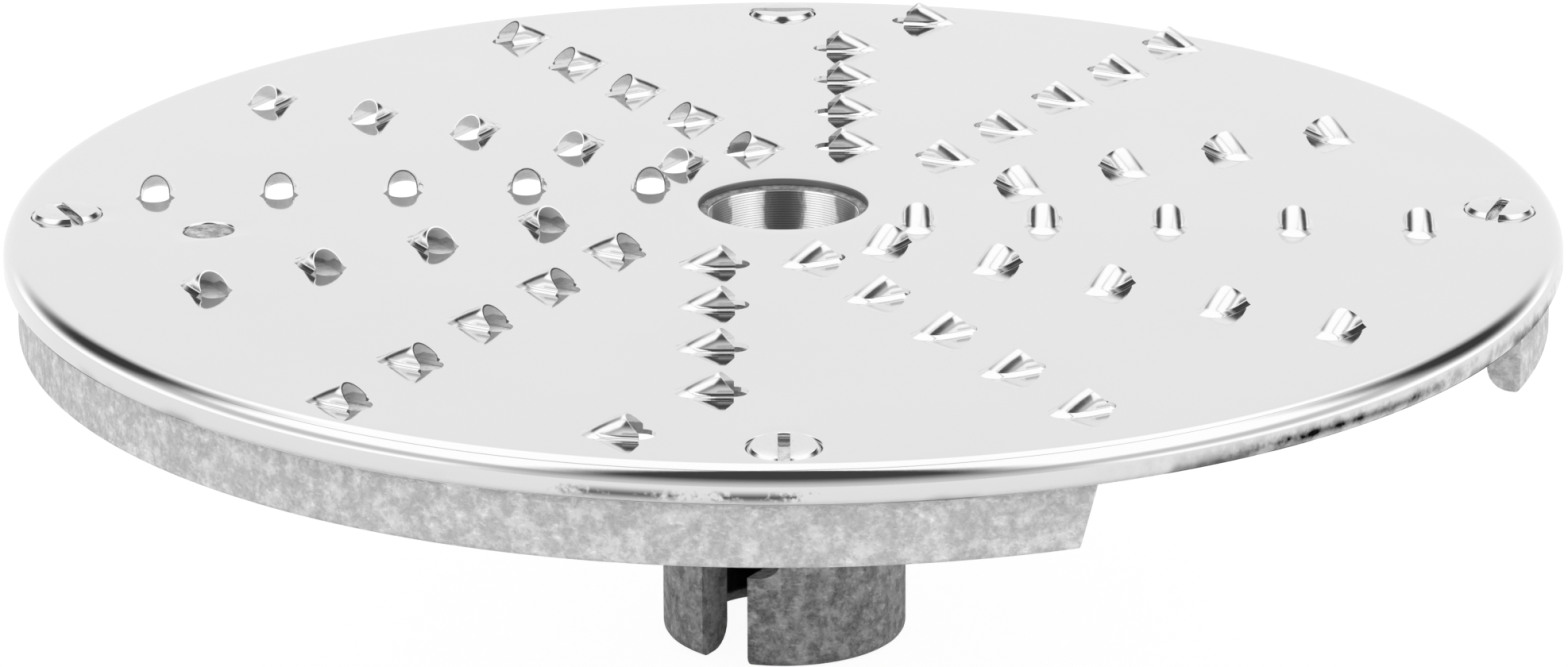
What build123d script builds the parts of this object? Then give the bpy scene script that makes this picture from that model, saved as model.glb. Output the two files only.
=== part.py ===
from build123d import *
from math import atan2, cos, degrees, radians, sin, sqrt, tan
import os

# Grating disc of a food processor: a sheet plate with punched teeth, screwed onto a cast carrier.
# Millimetres. The origin is the centre of the hub's foot, +Z runs up the drive bore, and the screws lie on
# X and Y. Seen from above the disc turns anticlockwise, so every tooth opens that way.

# Plate: a flat sheet with a turned-down rim
plate_diameter = 190.0
plate_thickness = 1.0
plate_height = 54.0
rim_radius = 2.5
rim_bands = 3
flange_depth = 4.6
hole_diameter = 20.8
hole_edge_bevel = 0.6

# Teeth: punched hoods on a six-start spiral
tooth_pitch = 15.2
rows_per_turn = 12
spiral_starts = 6
first_row_angle = 60.0
tooth_rim_margin = 7.8
tooth_offset = 7.5
tooth_hole_margin = 4.6
screw_dodge_length = 10.54
tooth_height = 2.45
tooth_width = 4.1
tooth_tail = 5.0
tail_radius = 0.9
mouth_rake = 1.3
tooth_opening = 3.9
opening_back = 3.4
opening_width = 2.8
opening_nose = 1.2
hood_wall = 0.6
hood_facets = 8
hollow_facets = 6

# Screws: slotted, with a sunk head that stands a little proud
screw_rim_margin = 7.5
screw_angles = (0.0, 90.0, 180.0, 270.0)
screw_slot_turns = (72.0, 0.0, 113.0, 90.0)
screw_head_diameter = 8.4
screw_head_rise = 0.5
screw_shank_diameter = 5.0
screw_length = 10.0
screw_slot_width = 1.4
screw_slot_depth = 1.2
screw_clearance = 0.1

# Carrier: hub, two web sectors, two skirts
hub_diameter = 30.0
hub_edge_bevel = 1.0
bore_diameter = 18.3
bore_lead_bevel = 2.8
bore_top_chamfer = 0.8
web_thickness = 6.0
web_root_height = 7.0
web_root_rise = 5.0
seat_gap = 0.05
web_start_offset = 2.0
web_end_angle = 244.0
web_end_offset = 7.0
web_corner_radius = 8.0
skirt_clearance = 0.6
skirt_thickness = 4.1
skirt_height = 12.6
skirt_inner_bevel = 2.2
skirt_top_chamfer = 1.5
skirt_start_angle = 159.5
skirt_end_angle = 293.0
skirt_end_slope = 16.0
skirt_end_radius = 2.0
boss_diameter = 9.8
boss_height = 11.0

# Drive slots: open at the foot, with a short leg at the top
slot_angle = 240.0
slot_width = 6.4
slot_height = 18.0
slot_leg_reach = 7.2
slot_leg_height = 6.4
slot_corner_radius = 2.6

# Locating peg, which fills the small hole in the plate
peg_rim_margin = 24.9
peg_angle = 186.3
peg_diameter = 5.9
peg_clearance = 0.1
peg_recess = 0.1

# Sizes that follow
rim_r = plate_diameter / 2
hub_r = hub_diameter / 2
bore_r = bore_diameter / 2
first_tooth_reach = rim_r - tooth_rim_margin
screw_circle_r = rim_r - screw_rim_margin
peg_circle_r = rim_r - peg_rim_margin
skirt_r = rim_r - plate_thickness - skirt_clearance
skirt_inner_r = skirt_r - skirt_thickness
flat_r = rim_r - rim_radius
seat_z = plate_height - plate_thickness - seat_gap
skirt_foot_z = plate_height - skirt_height
web_foot_z = seat_z - web_thickness
web_root_z = web_foot_z - web_root_height
half_turns = (0.0, 180.0)

# Start of the plate's revolution, clear of screws and teeth
seam_turn = Rot(0, 0, 9)


def polar(radius, angle, height=0.0):
    """Point at a radius and an angle about the disc's axis."""
    return (radius * cos(radians(angle)), radius * sin(radians(angle)), height)


def rounded(sketch, corner, radius):
    """Sketch with the vertex nearest to a point rounded off."""
    return fillet(sketch.vertices().sort_by_distance(corner)[0], radius)


def turned(points, turn=360.0):
    """Solid of revolution about Z from points (radius, height)."""
    return revolve(make_face(Polyline(*[(r, 0, z) for r, z in points], close=True)), Axis.Z, turn)


def plate_blank():
    """Flat sheet with its rolled rim and the bevelled edge of the centre hole."""
    hole_r = hole_diameter / 2
    inside_r = rim_r - plate_thickness
    foot_z = plate_height - flange_depth
    bend_z = plate_height - rim_radius
    bend_turns = [radians(90 * band / rim_bands) for band in range(rim_bands + 1)]
    section = [
        (hole_r, plate_height - plate_thickness),
        (hole_r, plate_height - hole_edge_bevel),
        (hole_r + hole_edge_bevel, plate_height),
        *((flat_r + rim_radius * sin(turn), bend_z + rim_radius * cos(turn)) for turn in bend_turns),
        (rim_r, foot_z),
        (inside_r, foot_z),
        (inside_r, bend_z),
        (flat_r, plate_height - plate_thickness),
    ]
    return seam_turn * turned(section)


def tooth_places():
    """Location of every tooth: X towards its opening, Z up, origin on the sheet below the crest."""
    places = []
    row_turn = 360 / rows_per_turn
    smallest_reach = hole_diameter / 2 + tooth_hole_margin
    for row in range(spiral_starts):
        reach = first_tooth_reach - row * tooth_pitch / spiral_starts
        while reach > smallest_reach:
            radius = sqrt(reach**2 + tooth_offset**2)
            angle = first_row_angle + row * row_turn - degrees(atan2(tooth_offset, reach))
            facing = first_row_angle + row * row_turn + 90
            if meets_screw(radius, angle):
                dodge_turn = degrees(screw_dodge_length / radius)
                angle -= dodge_turn
                facing -= dodge_turn
            for turn in half_turns:
                places.append(Pos(*polar(radius, angle + turn, plate_height)) * Rot(0, 0, facing + turn))
            reach -= tooth_pitch
    return places


def meets_screw(radius, angle):
    """Whether a tooth at this radius and angle would run into a screw's head."""
    reach = screw_head_diameter / 2 + tooth_opening + mouth_rake
    tooth = Vector(*polar(radius, angle))
    return any((tooth - Vector(*polar(screw_circle_r, a))).length < reach for a in screw_angles)


def flat_sided_cone(facets, small_r, large_r, length):
    """Blunt cone along X with flat sides and a corner at its top."""
    turns = [90 + 360 * side / facets for side in range(facets)]
    small = [Vector(0, *polar(small_r, turn)[:2]) for turn in turns]
    large = [Vector(length, *polar(large_r, turn)[:2]) for turn in turns]
    sides = [(small[k - 1], small[k], large[k], large[k - 1]) for k in range(facets)]
    return Solid(Shell([Face(Wire.make_polygon(corners)) for corners in (*sides, small, large)]))


def hood(facets, inset=0.0):
    """Cone that shapes a tooth, tilted to have the tooth's width and height at its crest."""
    crest_r = (tooth_height**2 + (tooth_width / 2)**2) / (2 * tooth_height)
    tilt = degrees(atan2(tooth_height - crest_r, tooth_tail))
    length = tooth_tail + tooth_opening
    front_r = tail_radius + (crest_r - tail_radius) * length / tooth_tail
    cone = flat_sided_cone(facets, tail_radius - inset / 2, front_r - inset / 2, length)
    return Pos(inset - tooth_tail, 0, 0) * Rot(0, -tilt, 0) * cone


def tooth_metal():
    """Raised metal of a tooth: the hood from its sloping tail to its raked mouth, rooted in the sheet."""
    root = plate_thickness / 2
    over = tooth_height + root
    side = Polygon(
        (-tooth_tail, -root),
        (mouth_rake * (1 + root / tooth_height), -root),
        (mouth_rake * (1 - over / tooth_height), over),
        (over - tooth_tail, over),
        (-tooth_tail, 0),
        align=None,
    )
    return hood(hood_facets) & extrude(Plane.XZ * side, tooth_width, both=True)


def tooth_slit():
    """Space under a tooth: the blunt-nosed slit through the sheet, closed above by the hood's inside."""
    half = opening_width / 2
    shoulder = tooth_opening - opening_nose
    outline = Polygon(
        (-opening_back, 0),
        (-mouth_rake, -half),
        (shoulder, -half),
        (tooth_opening, -half / 2),
        (tooth_opening, half / 2),
        (shoulder, half),
        (-mouth_rake, half),
        align=None,
    )
    below = Pos(0, 0, -tooth_height) * Box(4 * tooth_tail, tooth_width, 2 * tooth_height)
    return extrude(outline, 2 * tooth_height, both=True) & (hood(hollow_facets, hood_wall) + below)


def screw_body(grow=0.0):
    """Screw without its slot, from the sheet's top face at Z 0, grown by a clearance for its hole."""
    head_r = screw_head_diameter / 2 + grow
    shank_r = screw_shank_diameter / 2 + grow
    top = screw_head_rise + grow
    sink = (screw_head_diameter - screw_shank_diameter) / 2
    section = Polyline(
        (0, 0, top),
        (head_r, 0, top),
        (head_r, 0, 0),
        (shank_r, 0, -sink),
        (shank_r, 0, -screw_length - grow),
        (0, 0, -screw_length - grow),
        close=True,
    )
    return revolve(make_face(section), Axis.Z)


def screw_place(angle):
    """Place of the screw at an angle: on the sheet, standing along Z."""
    return Pos(*polar(screw_circle_r, angle, plate_height))


def screw(angle, slot_turn):
    """One screw in its place, its slot turned about its own axis."""
    slot_box = Box(screw_head_diameter * 2, screw_slot_width, screw_slot_depth * 2)
    slot = Rot(0, 0, slot_turn) * Pos(0, 0, screw_head_rise) * slot_box
    return screw_place(angle) * (screw_body() - slot)


def hub():
    """Turned hub around the drive bore, bevelled at its foot."""
    tube = [
        (bore_r, bore_lead_bevel),
        (bore_r + bore_lead_bevel, 0),
        (hub_r - hub_edge_bevel, 0),
        (hub_r, hub_edge_bevel),
        (hub_r, seat_z),
        (bore_r, seat_z),
    ]
    return turned(tube)


def bore_cut():
    """Bore through the webs, with its chamfer just under the plate."""
    chamfer_r = bore_r + bore_top_chamfer
    over_z = seat_z + plate_thickness
    bore = [
        (0, web_root_z),
        (bore_r, web_root_z),
        (bore_r, seat_z - bore_top_chamfer),
        (chamfer_r, seat_z),
        (chamfer_r, over_z),
        (0, over_z),
    ]
    return turned(bore)


def web_outline():
    """Plan of one web sector: from the hub to the skirt, straight edges and rounded inner corners."""
    end_edge = Vector(*polar(1, web_end_angle))
    end_shift = Vector(*polar(web_end_offset, web_end_angle - 90))
    reach = skirt_r + skirt_thickness
    wedge = Polygon(
        (0, web_start_offset),
        (-reach, web_start_offset),
        (-reach, -reach),
        (end_edge.X * reach + end_shift.X, -reach),
        ((end_edge * reach + end_shift).X, (end_edge * reach + end_shift).Y),
        (end_shift.X, end_shift.Y),
        align=None,
    )
    ring = Circle(skirt_r - skirt_top_chamfer) - Circle(skirt_inner_r)
    span = skirt_end_angle - skirt_start_angle
    skirt_sector = ring & Polygon(
        (0, 0),
        *[polar(2 * skirt_r, skirt_start_angle + span * step / 4)[:2] for step in range(5)],
        align=None,
    )
    plan = (wedge & Circle(skirt_r - skirt_top_chamfer)) + skirt_sector
    start_corner = (-sqrt(skirt_inner_r**2 - web_start_offset**2), web_start_offset)
    along = sqrt(skirt_inner_r**2 - web_end_offset**2)
    end_corner = end_edge * along + end_shift
    plan = rounded(plan, start_corner, web_corner_radius)
    return rounded(plan, end_corner, web_corner_radius)


def web():
    """One web sector, with the cone that joins its underside to the hub."""
    plan = web_outline()
    slab = Pos(0, 0, web_foot_z) * extrude(plan, web_thickness)
    column = Pos(0, 0, web_root_z) * extrude(plan, seat_z - web_root_z)
    root_r = hub_r + web_root_rise
    cone = turned([(0, web_root_z), (hub_r, web_root_z), (root_r, web_foot_z), (0, web_foot_z)])
    return slab + (cone & column)


def skirt_end():
    """Metal to take off a skirt's sloping end, seen along its radius."""
    run = (seat_z - skirt_foot_z) * tan(radians(skirt_end_slope))
    back = run + 3 * skirt_end_radius
    kept = Polygon((-back, skirt_foot_z), (-run, skirt_foot_z), (0, seat_z), (-back, seat_z), align=None)
    kept = rounded(kept, (-run, skirt_foot_z), skirt_end_radius)
    block_size = (back + 2 * skirt_thickness, seat_z - skirt_foot_z)
    block = Pos(-back, skirt_foot_z) * Rectangle(*block_size, align=(Align.MIN, Align.MIN))
    outward = Vector(*polar(1, skirt_end_angle))
    along = Vector(*polar(1, skirt_end_angle + 90))
    side = Plane(origin=outward * (skirt_r - 2 * skirt_thickness), x_dir=along, z_dir=outward)
    return extrude(side * (block - kept), 3 * skirt_thickness)


def skirt():
    """One skirt: a ring sector with a bevelled foot, square at one end and sloping at the other."""
    outline = [
        (skirt_inner_r, skirt_foot_z + skirt_inner_bevel),
        (skirt_inner_r + skirt_inner_bevel, skirt_foot_z),
        (skirt_r, skirt_foot_z),
        (skirt_r, seat_z - skirt_top_chamfer),
        (skirt_r - skirt_top_chamfer, seat_z),
        (skirt_inner_r, seat_z),
    ]
    ring = turned(outline, turn=skirt_end_angle - skirt_start_angle)
    return Rot(0, 0, skirt_start_angle) * ring - skirt_end()


def drive_slot():
    """Cut for one drive slot: up from the hub's foot, then a short leg in the turning direction."""
    half = slot_width / 2
    leg_z = slot_height - slot_leg_height
    shape = Polygon(
        (-half, -hub_r),
        (half, -hub_r),
        (half, leg_z),
        (slot_leg_reach, leg_z),
        (slot_leg_reach, slot_height),
        (-half, slot_height),
        align=None,
    )
    for corner in ((slot_leg_reach, leg_z), (slot_leg_reach, slot_height), (-half, slot_height)):
        shape = rounded(shape, corner, slot_corner_radius)
    outward = Vector(*polar(1, slot_angle))
    along = Vector(*polar(1, slot_angle + 90))
    side = Plane(origin=outward * (bore_r / 2), x_dir=along, z_dir=outward)
    return extrude(side * shape, hub_r)


def peg(grow, top_z):
    """Locating peg in the web, grown by a clearance for its hole in the plate."""
    foot = Pos(*polar(peg_circle_r, peg_angle, web_foot_z))
    upright = (Align.CENTER, Align.CENTER, Align.MIN)
    return foot * Cylinder(peg_diameter / 2 + grow, top_z - web_foot_z, align=upright)


def grating_plate():
    """Plate with its screw holes, peg hole and teeth."""
    holes = [screw_place(angle) * screw_body(screw_clearance) for angle in screw_angles]
    plate = plate_blank() - [*holes, peg(peg_clearance, plate_height + plate_thickness)]
    places = tooth_places()
    metal = tooth_metal()
    slit = tooth_slit()
    plate = plate + [place * metal for place in places]
    return plate - [place * slit for place in places]


def carrier():
    """Casting: hub, web sectors, skirts, screw bosses and locating peg, with its slots and holes cut."""
    boss = Cylinder(boss_diameter / 2, boss_height, align=(Align.CENTER, Align.CENTER, Align.MAX))
    bosses = [Pos(*polar(screw_circle_r, angle, seat_z)) * boss for angle in screw_angles]
    sectors = [Rot(0, 0, turn) * piece for turn in half_turns for piece in (web(), skirt())]
    casting = hub() + sectors + bosses + peg(0, plate_height - peg_recess)
    slots = [Rot(0, 0, turn) * drive_slot() for turn in half_turns]
    holes = [screw_place(angle) * screw_body(screw_clearance) for angle in screw_angles]
    return casting - [bore_cut(), *slots, *holes]


def main():
    """Build the three nodes and write one STEP file for each."""
    os.makedirs("parts", exist_ok=True)
    screws = Compound([screw(angle, turn) for angle, turn in zip(screw_angles, screw_slot_turns)])
    nodes = {"grating_plate": grating_plate(), "carrier": carrier(), "plate_screws": screws}
    for name, shape in nodes.items():
        export_step(shape, f"parts/{name}.step")


main()
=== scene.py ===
"""Studio scene of a food processor's grating disc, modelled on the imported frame.

The plate, the casting and the screws are modelled in millimetres and brought to metres when they are finished.
"""

import logging
from collections.abc import Callable, Iterable, Iterator, Sequence
from contextlib import contextmanager
from dataclasses import dataclass
from enum import Enum
from itertools import pairwise
from math import atan2, cos, degrees, hypot, pi, radians, sin, tan

import bpy
from mathutils import Matrix, Vector


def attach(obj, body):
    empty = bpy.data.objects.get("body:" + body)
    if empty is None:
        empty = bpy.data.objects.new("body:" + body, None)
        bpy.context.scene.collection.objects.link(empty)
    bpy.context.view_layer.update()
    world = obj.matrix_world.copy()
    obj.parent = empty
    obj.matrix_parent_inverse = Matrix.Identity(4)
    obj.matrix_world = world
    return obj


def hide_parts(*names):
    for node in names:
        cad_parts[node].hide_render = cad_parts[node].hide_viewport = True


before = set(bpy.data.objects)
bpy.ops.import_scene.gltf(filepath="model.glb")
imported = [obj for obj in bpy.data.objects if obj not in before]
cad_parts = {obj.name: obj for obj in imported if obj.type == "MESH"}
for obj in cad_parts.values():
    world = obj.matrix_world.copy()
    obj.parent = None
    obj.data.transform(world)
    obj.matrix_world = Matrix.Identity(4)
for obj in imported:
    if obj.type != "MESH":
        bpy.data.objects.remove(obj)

LOG = logging.getLogger("grating_disc")
METRE = 0.001
NEAR = 0.001
CUT_TOLERANCE = 1e-5
ARCH_REACH = 0.98
INSIDE = "inside"
WHITE = (1.0, 1.0, 1.0, 1.0)
HALVES = (0.0, 180.0)
QUARTERS = (0.0, 90.0, 180.0, 270.0)
Point = tuple[float, float]
Socket = bpy.types.NodeSocket


class Cut(Enum):
    """Ways to combine two closed meshes."""

    REMOVE = "DIFFERENCE"
    UNITE = "UNION"


class MathStep(Enum):
    """Steps of the shader's Math node that the materials use."""

    ADD = "ADD"
    SUBTRACT = "SUBTRACT"
    MULTIPLY = "MULTIPLY"
    DIVIDE = "DIVIDE"
    POWER = "POWER"
    SQRT = "SQRT"
    FRACTION = "FRACT"
    COSINE = "COSINE"
    ARCSINE = "ARCSINE"
    ARCTAN2 = "ARCTAN2"
    ABSOLUTE = "ABSOLUTE"
    MAXIMUM = "MAXIMUM"
    MINIMUM = "MINIMUM"


def polar(radius: float, angle: float, height: float = 0.0) -> Vector:
    """Point at a radius and an angle in degrees about the disc's axis."""
    return Vector((radius * cos(radians(angle)), radius * sin(radians(angle)), height))


def arc(middle: Point, radius: float, turns: Iterable[float]) -> list[Point]:
    """Points of a section round a middle, at angles in degrees from straight outwards towards up."""
    return [(middle[0] + radius * cos(radians(turn)), middle[1] + radius * sin(radians(turn))) for turn in turns]


@dataclass(frozen=True)
class Ring:
    """Cross-section of a lofted shape: its place along X, its middle height and its half sizes."""

    x: float
    z: float
    half_width: float
    half_height: float


@dataclass(frozen=True)
class Rounding:
    """How edges are rounded: the width, the faces across it, and the angle in degrees that makes an edge sharp."""

    width: float
    steps: int
    angle: float


class Bench:
    """Modelling steps that the pieces share, all done with Blender's operators."""

    @staticmethod
    def clear() -> None:
        """Leave edit mode and deselect everything."""
        if bpy.context.object and bpy.context.object.mode != "OBJECT":
            bpy.ops.object.mode_set(mode="OBJECT")
        bpy.ops.object.select_all(action="DESELECT")

    @staticmethod
    def pick(*objects: bpy.types.Object) -> None:
        """Select these objects alone, with the first one active."""
        Bench.clear()
        for item in objects:
            item.select_set(True)
        bpy.context.view_layer.objects.active = objects[0]

    @staticmethod
    def settle() -> None:
        """Move the place, turn and scale of the selected objects into their meshes."""
        bpy.ops.object.transform_apply(location=True, rotation=True, scale=True)

    @staticmethod
    def started(name: str) -> bpy.types.Object:
        """Name the primitive that was just added and give its place to its mesh.

        Args:
            name: The object's new name.

        Returns:
            The object, which is active and selected.
        """
        item = bpy.context.object
        item.name = name
        Bench.settle()
        return item

    @staticmethod
    @contextmanager
    def editing(item: bpy.types.Object) -> Iterator[None]:
        """Edit mode on one object, with all of it selected at the start.

        Args:
            item: The object to edit.

        Yields:
            Nothing. Normals point outwards and object mode is back at the end.
        """
        Bench.pick(item)
        bpy.ops.object.mode_set(mode="EDIT")
        bpy.ops.mesh.select_mode(type="VERT")
        bpy.ops.mesh.select_all(action="SELECT")
        yield
        bpy.ops.mesh.select_all(action="SELECT")
        bpy.ops.mesh.normals_make_consistent(inside=False)
        bpy.ops.object.mode_set(mode="OBJECT")

    @staticmethod
    def select(item: bpy.types.Object, test: Callable[[Vector], bool]) -> None:
        """Select the vertices that pass a test, in edit mode.

        Args:
            item: The object in edit mode.
            test: Takes a vertex's place and says whether it is selected.
        """
        bpy.ops.mesh.select_all(action="DESELECT")
        bpy.ops.object.mode_set(mode="OBJECT")
        for vertex in item.data.vertices:
            vertex.select = test(vertex.co)
        bpy.ops.object.mode_set(mode="EDIT")

    @staticmethod
    def extrude(step: Sequence[float]) -> None:
        """Extrude the selected edges by a step, in edit mode."""
        bpy.ops.mesh.extrude_edges_move(TRANSFORM_OT_translate={"value": step})

    @staticmethod
    def close_ends() -> None:
        """Fill the open ends of a mesh in edit mode."""
        bpy.ops.mesh.select_all(action="SELECT")
        bpy.ops.mesh.fill_holes(sides=0)

    @staticmethod
    def turned(name: str, profile: Sequence[Point], segments: int, ring: bool = False) -> bpy.types.Object:
        """Turned shape, grown from a circle that is extruded from point to point.

        Args:
            name: The object's name.
            profile: Points (radius, height) in the order of the extrusions.
            segments: Steps round the axis.
            ring: Whether the last point joins the first, or both ends are filled.

        Returns:
            The closed mesh.
        """
        Bench.clear()
        bpy.ops.mesh.primitive_circle_add(vertices=segments, radius=profile[0][0], location=(0, 0, profile[0][1]))
        item = Bench.started(name)
        with Bench.editing(item):
            for (last_r, last_z), (r, z) in pairwise(profile):
                Bench.extrude((0, 0, z - last_z))
                bpy.ops.transform.resize(value=(r / last_r, r / last_r, 1), center_override=(0, 0, z))
            if ring:
                bpy.ops.mesh.select_all(action="DESELECT")
                bpy.ops.mesh.select_non_manifold()
                bpy.ops.mesh.bridge_edge_loops()
            else:
                Bench.close_ends()
        return item

    @staticmethod
    def lofted(name: str, rings: Sequence[Ring], arch_steps: int) -> bpy.types.Object:
        """Shape along X with sections that are round above and square below, extruded from ring to ring.

        Args:
            name: The object's name.
            rings: The sections from the back to the front.
            arch_steps: Edges in each half of the round.

        Returns:
            The closed mesh.
        """
        Bench.clear()
        bpy.ops.mesh.primitive_plane_add(size=2, rotation=(0, pi / 2, 0))
        item = Bench.started(name)
        first = rings[0]
        with Bench.editing(item):
            Bench.select(item, lambda place: place.z > 0)
            bpy.ops.mesh.bevel(affect="VERTICES", offset=ARCH_REACH, segments=arch_steps)
            bpy.ops.mesh.select_all(action="SELECT")
            bpy.ops.mesh.delete(type="ONLY_FACE")
            bpy.ops.mesh.select_all(action="SELECT")
            bpy.ops.transform.resize(value=(1, first.half_width, first.half_height), center_override=(0, 0, 0))
            bpy.ops.transform.translate(value=(first.x, 0, first.z))
            for last, ring in pairwise(rings):
                growth = (1, ring.half_width / last.half_width, ring.half_height / last.half_height)
                Bench.extrude((ring.x - last.x, 0, ring.z - last.z))
                bpy.ops.transform.resize(value=growth, center_override=(ring.x, 0, ring.z))
            Bench.close_ends()
        return item

    @staticmethod
    def block(name: str, low: Sequence[float], high: Sequence[float]) -> bpy.types.Object:
        """Box between two corners, the start of a cutter.

        Args:
            name: The object's name.
            low: The corner with the lowest coordinates.
            high: The corner with the highest ones.

        Returns:
            The box.
        """
        Bench.clear()
        size = [b - a for a, b in zip(low, high)]
        middle = [(a + b) / 2 for a, b in zip(low, high)]
        bpy.ops.mesh.primitive_cube_add(size=1, location=middle, scale=size)
        return Bench.started(name)

    @staticmethod
    def trim(point: Sequence[float], normal: Sequence[float], fill: bool = True) -> None:
        """Cut the mesh in edit mode by a plane and drop the side that the normal points to.

        Args:
            point: A point of the plane.
            normal: Its normal.
            fill: Whether the cut is closed.
        """
        bpy.ops.mesh.select_all(action="SELECT")
        bpy.ops.mesh.bisect(plane_co=point, plane_no=normal, use_fill=fill, clear_outer=True, threshold=CUT_TOLERANCE)

    @staticmethod
    def combine(item: bpy.types.Object, other: bpy.types.Object, how: Cut) -> None:
        """Cut another mesh from an object or unite the two, and drop the other one.

        Args:
            item: The object that stays.
            other: The object that is used up.
            how: Whether the other is removed or united.
        """
        Bench.pick(item)
        bpy.ops.object.modifier_add(type="BOOLEAN")
        step = item.modifiers[-1]
        step.operation = how.value
        step.solver = "EXACT"
        step.object = other
        bpy.ops.object.modifier_apply(modifier=step.name)
        bpy.data.objects.remove(other)

    @staticmethod
    def soften(item: bpy.types.Object, rounding: Rounding) -> None:
        """Round an object's sharp edges.

        Args:
            item: The object.
            rounding: How its edges are rounded.
        """
        Bench.pick(item)
        bpy.ops.object.modifier_add(type="BEVEL")
        step = item.modifiers[-1]
        step.width = rounding.width
        step.segments = rounding.steps
        step.limit_method = "ANGLE"
        step.angle_limit = radians(rounding.angle)
        bpy.ops.object.modifier_apply(modifier=step.name)

    @staticmethod
    def duplicate(item: bpy.types.Object) -> bpy.types.Object:
        """Copy an object together with its mesh.

        Args:
            item: The object to copy.

        Returns:
            The copy, at the same place.
        """
        twin = item.copy()
        twin.data = item.data.copy()
        bpy.context.collection.objects.link(twin)
        return twin

    @staticmethod
    def copied(item: bpy.types.Object, places: Iterable[Matrix]) -> bpy.types.Object:
        """Copies of one model at several places, joined into one object.

        Args:
            item: The model, which is used up.
            places: Where each copy goes.

        Returns:
            The joined object, at the origin.
        """
        copies = []
        for place in places:
            twin = Bench.duplicate(item)
            twin.matrix_world = place
            copies.append(twin)
        bpy.data.objects.remove(item)
        return Bench.joined(copies)

    @staticmethod
    def joined(items: Sequence[bpy.types.Object]) -> bpy.types.Object:
        """Join objects into the first one.

        Args:
            items: The objects, which become one.

        Returns:
            The joined object, with its place in its mesh.
        """
        Bench.pick(*items)
        bpy.ops.object.join()
        Bench.settle()
        return bpy.context.object

    @staticmethod
    def turn(item: bpy.types.Object, angle: float) -> bpy.types.Object:
        """Turn an object about the disc's axis.

        Args:
            item: The object.
            angle: The angle in degrees.

        Returns:
            The same object, with the turn in its mesh.
        """
        Bench.pick(item)
        item.rotation_euler.z = radians(angle)
        Bench.settle()
        return item

    @staticmethod
    def twin_of(item: bpy.types.Object) -> bpy.types.Object:
        """Copy of an object half a turn round the disc."""
        return Bench.turn(Bench.duplicate(item), HALVES[1])

    @staticmethod
    def finish(item: bpy.types.Object, sharp_angle: float) -> None:
        """Bring a finished piece from millimetres to metres and smooth its shading.

        Args:
            item: The piece.
            sharp_angle: Angle in degrees above which an edge stays sharp.
        """
        Bench.pick(item)
        item.scale = (METRE, METRE, METRE)
        Bench.settle()
        bpy.ops.object.shade_smooth_by_angle(angle=radians(sharp_angle))
        LOG.info("%s: %d faces", item.name, len(item.data.polygons))


class Value:
    """Shader socket that adds a Math node for each operator used on it."""

    def __init__(self, graph: "Graph", socket: Socket) -> None:
        """Wrap a socket of a graph."""
        self.graph = graph
        self.socket = socket

    def step(self, kind: MathStep, *others: "Value | float") -> "Value":
        """Math node with this value first."""
        return self.graph.math(kind, self, *others)

    def __add__(self, other: "Value | float") -> "Value":
        """Sum."""
        return self.step(MathStep.ADD, other)

    __radd__ = __add__

    def __sub__(self, other: "Value | float") -> "Value":
        """Difference."""
        return self.step(MathStep.SUBTRACT, other)

    def __rsub__(self, other: float) -> "Value":
        """Difference from a number."""
        return self.graph.math(MathStep.SUBTRACT, other, self)

    def __mul__(self, other: "Value | float") -> "Value":
        """Product."""
        return self.step(MathStep.MULTIPLY, other)

    __rmul__ = __mul__

    def __truediv__(self, other: "Value | float") -> "Value":
        """Quotient."""
        return self.step(MathStep.DIVIDE, other)

    def __rtruediv__(self, other: float) -> "Value":
        """Quotient of a number by this value."""
        return self.graph.math(MathStep.DIVIDE, other, self)

    def __pow__(self, other: "Value | float") -> "Value":
        """Power."""
        return self.step(MathStep.POWER, other)

    def root(self) -> "Value":
        """Square root."""
        return self.step(MathStep.SQRT)

    def size(self) -> "Value":
        """Absolute value."""
        return self.step(MathStep.ABSOLUTE)

    def centred(self) -> "Value":
        """Difference from the middle of the range from 0 to 1."""
        return self - 0.5

    def ramp(self, start: float, end: float) -> "Value":
        """Smooth step between two values.

        Args:
            start: Where the result is 0.
            end: Where the result is 1.

        Returns:
            The step.
        """
        node = self.graph.node(
            "ShaderNodeMapRange",
            {"interpolation_type": "SMOOTHSTEP"},
            {"Value": self, "From Min": start, "From Max": end, "To Min": 0.0, "To Max": 1.0},
        )
        return Value(self.graph, node.outputs[0])

    def band(self, start: float, end: float, edge: float) -> "Value":
        """1 between two values and 0 outside, with smooth edges of a given width."""
        return self.ramp(start - edge, start + edge) * (1 - self.ramp(end - edge, end + edge))


@dataclass(frozen=True)
class Speckle:
    """Noise in a finish, at a scale per metre, and what it adds to the surface at full strength."""

    scale: float
    detail: float = 2.0
    harshness: float = 0.5
    span: Point | None = None
    tone: float = 0.0
    roughness: float = 0.0
    height: float = 0.0


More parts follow.
